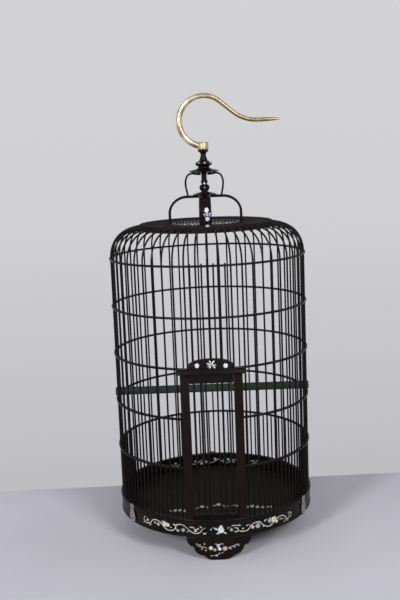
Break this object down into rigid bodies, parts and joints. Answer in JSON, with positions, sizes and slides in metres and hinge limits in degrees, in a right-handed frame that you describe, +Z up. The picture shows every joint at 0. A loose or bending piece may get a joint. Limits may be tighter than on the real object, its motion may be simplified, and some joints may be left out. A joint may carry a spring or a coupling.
{
  "type": "round songbird cage",
  "caption": "Round black lacquered songbird cage on bracket feet, with a sliding door of rods, a perch, shell inlay, a crown of bent arms and a swivelling brass hook.",
  "frame": {"origin": "on the ground under the cage's axis", "axes": "+Z up along the cage's axis, -Y from the axis towards the door, +X to the right seen from the door side"},
  "size_m": [0.368, 0.3717, 0.8158],
  "materials": {
    "black_lacquer": "dark hardwood under clear polished lacquer, almost black",
    "brown_lacquer": "dark red-brown hardwood under clear polished lacquer",
    "shell": "polished mother-of-pearl, pale pink and silver",
    "perch_grit": "matt grey-green grit on a round hardwood rod",
    "brass": "polished brass, slightly aged"
  },
  "bodies": {
    "cage": {"base_band": "black_lacquer", "floor_board": "black_lacquer", "floor_batten_front": "brown_lacquer", "floor_batten_rear": "brown_lacquer", "foot_front": "brown_lacquer", "foot_rear_left": "brown_lacquer", "foot_rear_right": "brown_lacquer", "ornament_left": "shell", "ornament_right": "shell", "ornament_rear": "shell", "bars_front": "black_lacquer", "bars_front_left": "black_lacquer", "bars_front_right": "black_lacquer", "bars_left": "black_lacquer", "bars_right": "black_lacquer", "bars_rear": "black_lacquer", "bars_rear_left": "black_lacquer", "bars_rear_right": "black_lacquer", "hoop_1": "black_lacquer", "hoop_2": "black_lacquer", "hoop_3": "black_lacquer", "hoop_4": "black_lacquer", "hoop_5": "black_lacquer", "door_post_left": "brown_lacquer", "door_post_right": "brown_lacquer", "door_lintel": "black_lacquer", "header_cap": "black_lacquer", "header_pediment": "brown_lacquer", "perch": "perch_grit", "top_plate": "brown_lacquer", "top_lattice": "black_lacquer", "arm_hub": "black_lacquer", "large_arm_front": "brown_lacquer", "large_arm_right": "brown_lacquer", "large_arm_rear": "brown_lacquer", "large_arm_left": "brown_lacquer", "lower_canopy": "black_lacquer", "spindle": "black_lacquer", "small_arm_front": "brown_lacquer", "small_arm_right": "brown_lacquer", "small_arm_rear": "brown_lacquer", "small_arm_left": "brown_lacquer", "upper_canopy": "black_lacquer", "finial": "black_lacquer", "hook_pin": "brass"},
    "door": {"door_rail": "black_lacquer", "door_rod_1": "black_lacquer", "door_rod_2": "black_lacquer", "door_rod_3": "black_lacquer", "door_rod_4": "black_lacquer", "door_stile_left": "black_lacquer", "door_stile_right": "black_lacquer"},
    "hook": {"hook": "brass"}
  },
  "joints": [
    {"name": "door_slide", "type": "slide", "parent": "cage", "child": "door", "axis": [0, 0, 1], "range_m": [0, 0.18]},
    {"name": "hook_swivel", "type": "hinge", "parent": "cage", "child": "hook", "pos_m": [0, 0, 0.7148], "axis": [0, 0, 1], "continuous": true}
  ]
}
